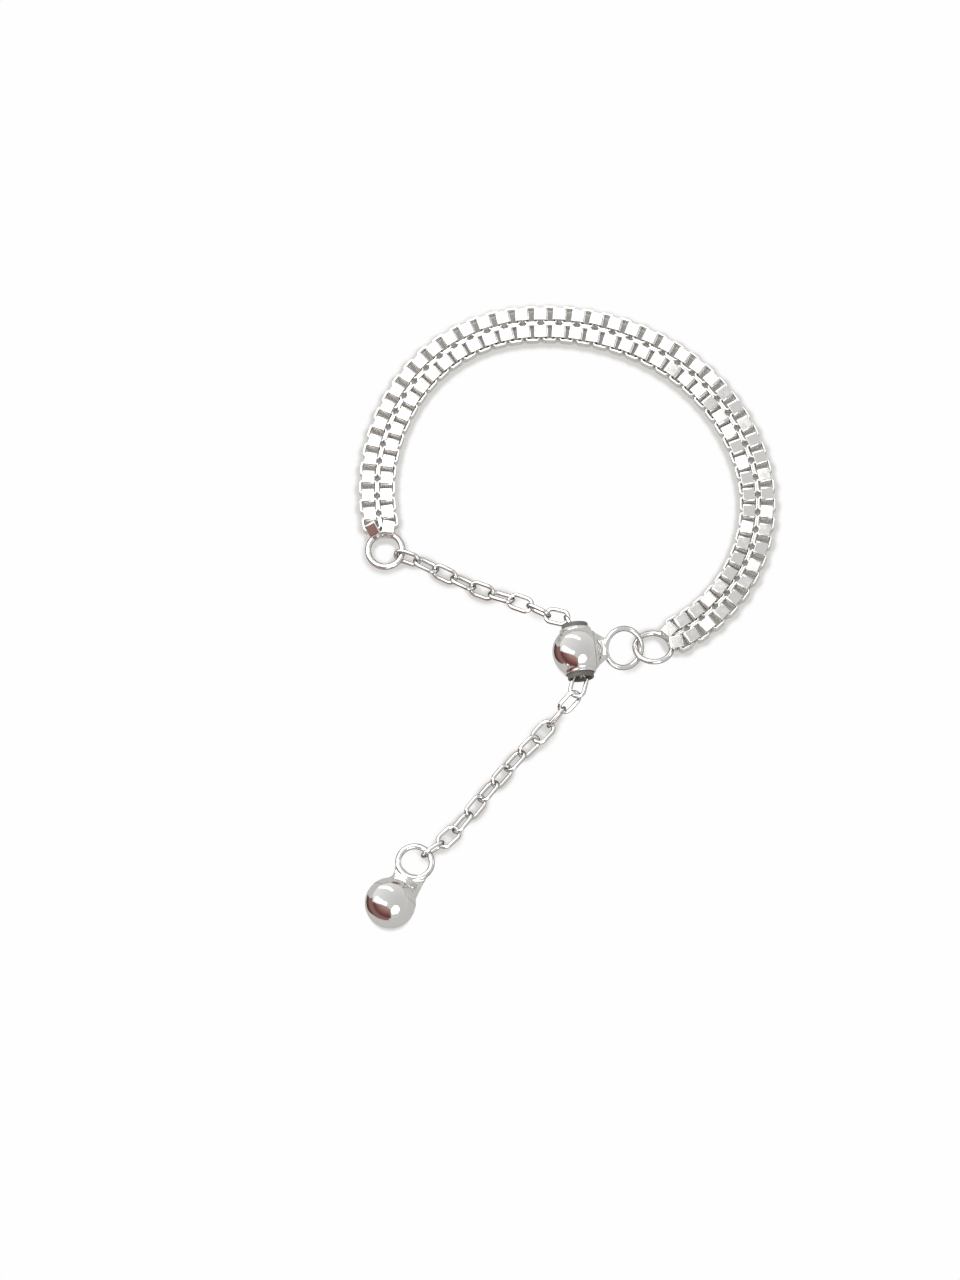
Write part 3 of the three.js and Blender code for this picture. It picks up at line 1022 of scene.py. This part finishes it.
class RING_OT_end_ball(bpy.types.Operator):
    """Build the end ball with its loop and the solder between them"""

    bl_idname = "ring.end_ball"
    bl_label = "End ball"

    def execute(self, context):
        place = ball_place(END_BALL)
        ball = sphere(context.scene.ring_ball.radius, *END_BALL_STEPS)
        ball = Shape().add(*ball, place)
        piece("end_ball_sphere", ball, sterling_silver_polished, "end_ball")
        ring = side_ring("end_ball_loop", END_LOOP, place, "end_ball")
        bodies = (ring, loft(self.web_half(1, 1)), loft(self.web_half(-1, 2)))
        solder_web(self, "end_ball_solder_web", "end_ball", place, bodies)
        return {"FINISHED"}

    # The web at distances from the ball's middle: its half width left and right, its top and foot.
    WEB_ROWS = (
        (0.5, 1.0, 1.08, 0.75, -0.67),
        (0.8, 0.9, 1.02, 0.6, -0.74),
        (1.1, 0.78, 0.97, 0.2, -0.8),
        (1.3, 0.7, 0.94, -0.14, -0.82),
        (1.5, 0.67, 0.92, -0.42, -0.82),
        (1.65, 0.69, 0.91, -0.55, -0.8),
        (1.85, 0.76, 0.91, -0.6, -0.76),
        (2.1, 0.86, 0.92, -0.62, -0.74),
    )
    WEB_VOXEL = 0.024 * MM
    WEB_SMOOTHING = 90

    def web_half(self, side, column):
        """One side of the web, from the loop's hole outwards."""
        hole = END_LOOP["radius"] - END_LOOP["wire"] / 2
        sections = []
        for row in self.WEB_ROWS:
            short = END_LOOP["x"] - row[0]
            near = math.sqrt(hole**2 - short**2) if short < hole else -0.4
            across = sorted((side * near, side * row[column]))
            sections.append((row[0], *across, (row[3] + row[4]) / 2, (row[3] - row[4]) / 2))
        return sections

    def near_web(self, point):
        """Whether a point, in millimetres from the ball's middle, is by the loop."""
        return 0.45 < point.x < 2.5 and abs(point.y) < 1.25 and point.z < 1.0


# ---- Stage -----------------------------------------------------------------------------------


def lit_only(light, names, state):
    """Lets a light fall on the named pieces only (INCLUDE), or on all but them (EXCLUDE)."""
    chosen = bpy.data.collections.new(f"{light.name}_{state.lower()}")
    for name in names:
        chosen.objects.link(bpy.data.objects[name])
    for member in chosen.collection_objects:
        member.light_linking.link_state = state
    light.light_linking.receiver_collection = chosen


def area_light(name, place, aim, width, height, radiance):
    """A rectangular soft light of a given brightness, seen in the metal but not by the camera."""
    data = bpy.data.lights.new(name, "AREA")
    data.shape = "RECTANGLE"
    data.size, data.size_y = width, height
    data.energy = radiance * math.pi * width * height
    light = bpy.data.objects.new(name, data)
    light.location = place
    light.rotation_euler = (Vector(aim) - Vector(place)).to_track_quat("-Z", "Y").to_euler()
    light.visible_camera = False
    bpy.context.scene.collection.objects.link(light)
    return light


def toward(azimuth, elevation, distance):
    """The point at a distance from the ring, its azimuth counted from +X."""
    turn, rise = math.radians(azimuth), math.radians(elevation)
    flat = distance * math.cos(rise)
    return Vector((flat * math.cos(turn), flat * math.sin(turn), distance * math.sin(rise)))


class RING_OT_stage(bpy.types.Operator):
    """Build the pale floor, the dark cards, the soft lights and the camera"""

    bl_idname = "ring.stage"
    bl_label = "Stage"

    def execute(self, context):
        scene = context.scene
        scene.view_settings.view_transform = "Standard"
        self.add_floor(scene)
        self.add_patches(scene)
        self.add_world(scene)
        self.add_lights()
        self.add_camera(scene)
        return {"FINISHED"}

    def add_floor(self, scene):
        # White coated paper, overexposed where it is open, with painted shadow: grey close to the
        # metal and darker at the bottom of narrow gaps, by how closed in each point is. The metal
        # mirrors it as the light grey that it is.
        look = scene.ring_colours
        material = new_material("paper_white_coated")
        tree = material.node_tree
        contact = add_node(tree, "AmbientOcclusion", {"Distance": 0.5 * MM, "samples": 16})
        tone = add_node(tree, "ValToRGB", links={"Fac": (contact, "AO")})
        stops = tone.color_ramp.elements
        stops[0].position, stops[0].color = 0.25, linear(look.under)
        stops[1].position, stops[1].color = 0.9, linear(look.floor)
        for position in (0.45, 0.76):
            stops.new(position).color = linear(look.near)
        seen = add_node(tree, "Emission", links={"Color": (tone, "Color")})
        material.cycles.emission_sampling = "NONE"
        mirrored = add_node(tree, "BsdfDiffuse", {"Color": linear(look.mirrored)})
        path = add_node(tree, "LightPath")
        ends = {"Fac": (path, "Is Camera Ray"), 1: (mirrored, 0), 2: (seen, 0)}
        mix = add_node(tree, "MixShader", links=ends)
        add_node(tree, "OutputMaterial", links={"Surface": (mix, "Shader")})
        half = 0.6
        corners = [(-half, -half, 0), (half, -half, 0), (half, half, 0), (-half, half, 0)]
        mesh = bpy.data.meshes.new("floor")
        mesh.from_pydata(corners, [], [(0, 1, 2, 3)])
        floor = bpy.data.objects.new("floor", mesh)
        floor.location.z = -0.005 * MM
        scene.collection.objects.link(floor)
        mesh.materials.append(material)

    def add_dome_patch(self, name, outline, material):
        """A patch of a dome round the ring, its outline given by azimuth and elevation."""
        middle = Vector((-4, -8, 1.2)) * MM
        self.add_patch(name, [middle + toward(*corner, 0.3) for corner in outline], material)

    def add_patch(self, name, corners, material, faces=None):
        """A flat or hollow patch that only the metal mirrors."""
        mesh = bpy.data.meshes.new(name)
        mesh.from_pydata(corners, [], faces or [range(len(corners))])
        patch = bpy.data.objects.new(name, mesh)
        patch.visible_camera = False
        patch.visible_diffuse = False
        patch.visible_shadow = False
        bpy.context.scene.collection.objects.link(patch)
        mesh.materials.append(material)
        return patch

    def card_material(self, name, low, high, start, end):
        """A brown card that gives off its colours as painted light, going from one to the other
        with its height, or with the light written on its corners."""
        material = new_material(name)
        tree = material.node_tree
        place = add_node(tree, "TexCoord")
        parts = add_node(tree, "SeparateXYZ", links={"Vector": (place, "Object")})
        light = add_node(tree, "Attribute", {"attribute_name": "light"})
        value = add_node(tree, "Math", {"operation": "ADD"}, {0: (parts, "Z"), 1: (light, "Fac")})
        share = add_node(
            tree, "MapRange", {"From Min": start, "From Max": end}, {"Value": (value, "Value")}
        )
        ends = {"data_type": "RGBA", 6: linear(low), 7: linear(high)}
        tint = add_node(tree, "Mix", ends, {"Factor": (share, "Result")})
        glow = add_node(tree, "Emission", links={"Color": (tint, 2)})
        add_node(tree, "OutputMaterial", links={"Surface": (glow, "Emission")})
        material.cycles.emission_sampling = "NONE"
        return material

    def add_patches(self, scene):
        # Dark brown card at the front left, lighter towards its top, seen only in the metal.
        look = scene.ring_colours
        card = self.card_material("card_dark_brown", look.card, look.card_top, 0.07, 0.2)
        self.add_dome_patch("card", self.CARD, card)

        # A dark card bent up from the surface on the left of each ball, again seen only in the
        # metal, and darkest at its near edge, in the ball's shade.
        bent = self.card_material("card_brown_shaded", look.card_foot, look.card_top, 0, 1)
        cards = {"slider_card": (ball_place(BEAD), 4), "end_ball_card": (ball_place(END_BALL), 6)}
        for name, (place, size) in cards.items():
            below = Vector((place.translation.x, place.translation.y, 0))
            rows = [[below + Vector(p) * MM for p in row[:size]] for row in self.BENT_CARD]
            firsts = [row * size + i for row in range(len(rows) - 1) for i in range(size - 1)]
            faces = [(i, i + 1, i + size + 1, i + size) for i in firsts]
            patch = self.add_patch(name, [corner for row in rows for corner in row], bent, faces)
            shade = patch.data.attributes.new("light", "FLOAT", "POINT")
            for row, light in enumerate(self.ROW_LIGHT):
                for i in range(size):
                    shade.data[row * size + i].value = light

        # Diffusing cloth lit from behind: the white patches on the balls.
        cloth = new_material("cloth_white_backlit")
        tree = cloth.node_tree
        glow = add_node(tree, "Emission", {"Color": linear(look.cloth), "Strength": 2.4})
        add_node(tree, "OutputMaterial", links={"Surface": (glow, "Emission")})
        cloth.cycles.emission_sampling = "NONE"
        for name, outline in self.CLOTHS.items():
            self.add_dome_patch(name, outline, cloth)

    # The bent card's near edge, its fold and its upper edge, in millimetres from below the ball's
    # middle. The slider's card stops short of the chain, after the fourth corner.
    NEAR_EDGE = (
        (-2.6, 1.4), (-2.7, -0.4), (-3.4, -1.6), (-4.2, -2.9), (-3.7, -6.9), (-0.9, -12.4),
    )
    FOLD = ((-7.8, 2.2), (-8, -0.4), (-7.6, -3), (-6.4, -5.4), (-3.8, -7.1), (-0.9, -12.5))
    BENT_CARD = (
        [(x, y, 0.02) for x, y in NEAR_EDGE],
        [(x, y, 0.02) for x, y in FOLD],
        [(x, y, 2.6) for x, y in FOLD],
    )
    # How much light the near edge, the fold and the upper edge get.
    ROW_LIGHT = (0, 0.6, 0.45)
    # Outlines on the dome, as azimuth from +X and elevation in degrees.
    CARD = (
        (178, 1), (225, 1), (272, 1), (271, 44), (248, 54), (222, 50), (202, 40), (190, 24),
        (180, 10),
    )
    CLOTHS = {
        "left_cloth": (
            (160, 22), (172, 12), (188, 30), (204, 48), (236, 58), (222, 70), (190, 58), (170, 42),
        ),
        "back_cloth": (
            (130, 4), (124, 16), (108, 32), (82, 50), (72, 44), (92, 30), (112, 14), (124, 2),
        ),
        "front_cloth": (
            (278, 22), (300, 18), (318, 28), (322, 46), (302, 58), (280, 50), (273, 36),
        ),
    }

    def add_world(self, scene):
        """A pale room, seen only in the metal: lightest low down at the back left."""
        world = bpy.data.worlds.new("pale_room")
        scene.world = world
        world.use_nodes = True
        tree = world.node_tree
        tree.nodes.clear()
        place = add_node(tree, "TexCoord")
        slope = {"operation": "DOT_PRODUCT", 1: (-0.1, 0.07, -0.08)}
        side = add_node(tree, "VectorMath", slope, {0: (place, "Generated")})
        strength = add_node(tree, "Math", {"operation": "ADD", 1: 0.7}, {0: (side, "Value")})
        colour = linear(scene.ring_colours.room)
        room = add_node(
            tree, "Background", {"Color": colour}, {"Strength": (strength, "Value")}
        )
        add_node(tree, "OutputWorld", links={"Surface": (room, "Background")})

    def add_lights(self):
        # The paper's own light, so that its white doesn't depend on what the metal mirrors.
        above, below = (0, 0, 0.5), (0, 0, 0)
        over = area_light("floor_light", above, below, width=0.7, height=0.7, radiance=2.5)
        over.data.use_shadow = False
        lit_only(over, ["floor"], "INCLUDE")
        # A softbox overhead, mirrored by the flat links at the left and top of the band. Its right
        # edge runs to the back right, as the line does beyond which the links are grey.
        balls = ["slider_ball", "end_ball_sphere", "floor"]
        above, below = (-0.047, 0.069, 0.1), (-0.047, 0.069, 0)
        box = area_light("softbox", above, below, width=0.12, height=0.12, radiance=1.6)
        box.rotation_euler.z -= math.radians(12.5)
        lit_only(box, balls, "EXCLUDE")
        # Narrow lights all round that give the wires and the strips' edges their bright lines.
        for azimuth in (20, 95, 150, 215, 300):
            place = toward(azimuth, 24, 0.35)
            name = f"rim_{azimuth}"
            rim = area_light(name, place, (0, 0, 0), width=0.09, height=0.05, radiance=2.2)
            lit_only(rim, balls, "EXCLUDE")

    def add_camera(self, scene):
        # The camera aims to the left of the ring's middle and a little in front of it.
        low, high = CAD_BOX
        middle = (low + high) / 2
        aim = Vector((middle.x - 4.38 * MM, middle.y - 0.99 * MM, 0))
        elevation = math.radians(75)
        distance = 1.6
        data = bpy.data.cameras.new("camera")
        data.lens = 900
        data.sensor_width = 36
        data.clip_start, data.clip_end = 0.1, 10
        camera = bpy.data.objects.new("camera", data)
        back = Vector((0, -math.cos(elevation), math.sin(elevation)))
        camera.location = aim + distance * back
        camera.rotation_euler = (-back).to_track_quat("-Z", "Y").to_euler()
        scene.collection.objects.link(camera)
        scene.camera = camera


class RING_PT_panel(bpy.types.Panel):
    """The pieces of the ring, in the order in which they are built"""

    bl_idname = "RING_PT_panel"
    bl_label = "Chain Ring"
    bl_space_type = "VIEW_3D"
    bl_region_type = "UI"
    bl_category = "Chain Ring"

    def draw(self, context):
        for group in (context.scene.ring_band, context.scene.ring_cable, context.scene.ring_ball):
            box = self.layout.box()
            for key in group.__annotations__:
                box.prop(group, key)
        colours = self.layout.box()
        for key in context.scene.ring_colours.__annotations__:
            colours.prop(context.scene.ring_colours, key)
        for operator in OPERATORS:
            self.layout.operator(operator.bl_idname)


GROUPS = {
    "ring_band": RingBandSizes,
    "ring_cable": RingCableSizes,
    "ring_ball": RingBallSizes,
    "ring_colours": RingColours,
}
OPERATORS = (
    RING_OT_band_links,
    RING_OT_band_pairs,
    RING_OT_end_rings,
    RING_OT_cable_chain,
    RING_OT_slider,
    RING_OT_end_ball,
    RING_OT_stage,
)
CLASSES = (*GROUPS.values(), *OPERATORS, RING_PT_panel)


def register():
    for cls in CLASSES:
        bpy.utils.register_class(cls)
    for key, group in GROUPS.items():
        setattr(bpy.types.Scene, key, PointerProperty(type=group))


def unregister():
    for key in GROUPS:
        delattr(bpy.types.Scene, key)
    for cls in reversed(CLASSES):
        bpy.utils.unregister_class(cls)


def main():
    register()
    bpy.ops.ring.band_links()
    bpy.ops.ring.band_pairs()
    bpy.ops.ring.end_rings()
    bpy.ops.ring.cable_chain()
    bpy.ops.ring.slider()
    bpy.ops.ring.end_ball()
    bpy.ops.ring.stage()


if __name__ == "__main__":
    main()
